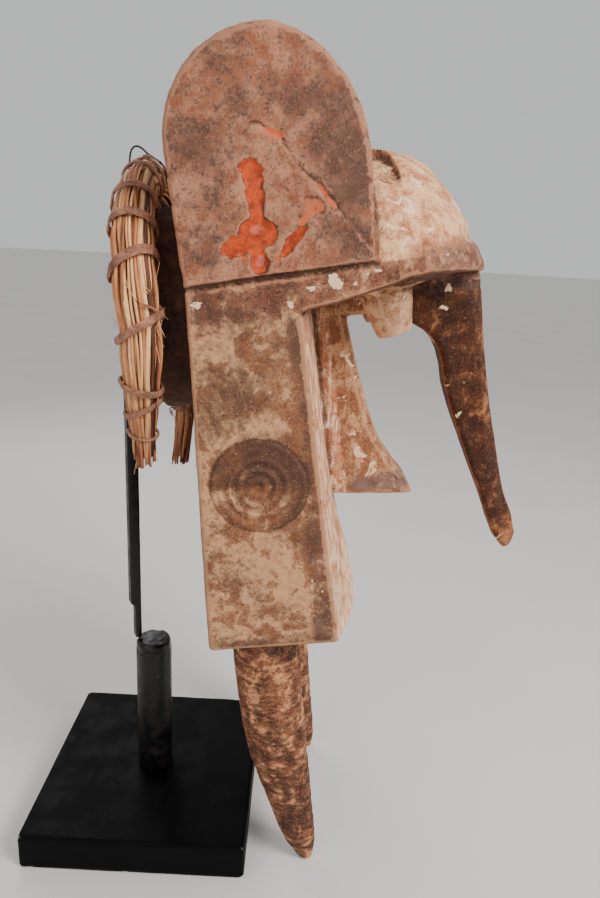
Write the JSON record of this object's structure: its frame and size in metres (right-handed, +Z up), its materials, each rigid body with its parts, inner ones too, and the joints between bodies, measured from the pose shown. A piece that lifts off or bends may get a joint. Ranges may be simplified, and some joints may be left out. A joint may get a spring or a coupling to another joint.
{
  "type": "elephant spirit mask on display stand",
  "caption": "Carved wooden elephant mask with round ear plates, domed brow, trunk and tusks, tied to a stem hoop and held by a bar on a square foot.",
  "frame": {"origin": "centre of the square foot's underside, on the surface that the foot and the tusk tips stand on", "axes": "+X the way the mask's face looks, +Y to the mask's left, +Z up"},
  "size_m": [0.4265, 0.2346, 0.6678],
  "materials": {
    "crusted_wood": "carved wood with a worn crust of kaolin, red earth and soot",
    "dry_stems": "dry split plant stems, satin",
    "flat_vine": "flat dry vine, satin",
    "dark_wire": "dark annealed wire",
    "black_iron": "semi-gloss black paint on steel, slightly scratched",
    "black_paint": "chipped semi-gloss black paint on pale wood"
  },
  "bodies": {
    "root": {"mask": "crusted_wood", "head_ring": "dry_stems", "lashing_crown": "flat_vine", "lashing_crown_side": "flat_vine", "lashing_shoulder": "flat_vine", "lashing_upper": "flat_vine", "lashing_middle": "flat_vine", "lashing_slanting": "flat_vine", "lashing_lower": "flat_vine", "lashing_lowest": "flat_vine", "lashing_thin": "flat_vine", "lashing_far_upper": "flat_vine", "lashing_far_middle": "flat_vine", "lashing_far_lower": "flat_vine", "tie_wire": "dark_wire", "rod": "black_iron", "socket_pipe": "black_iron", "base_slab": "black_paint"}
  },
  "joints": []
}
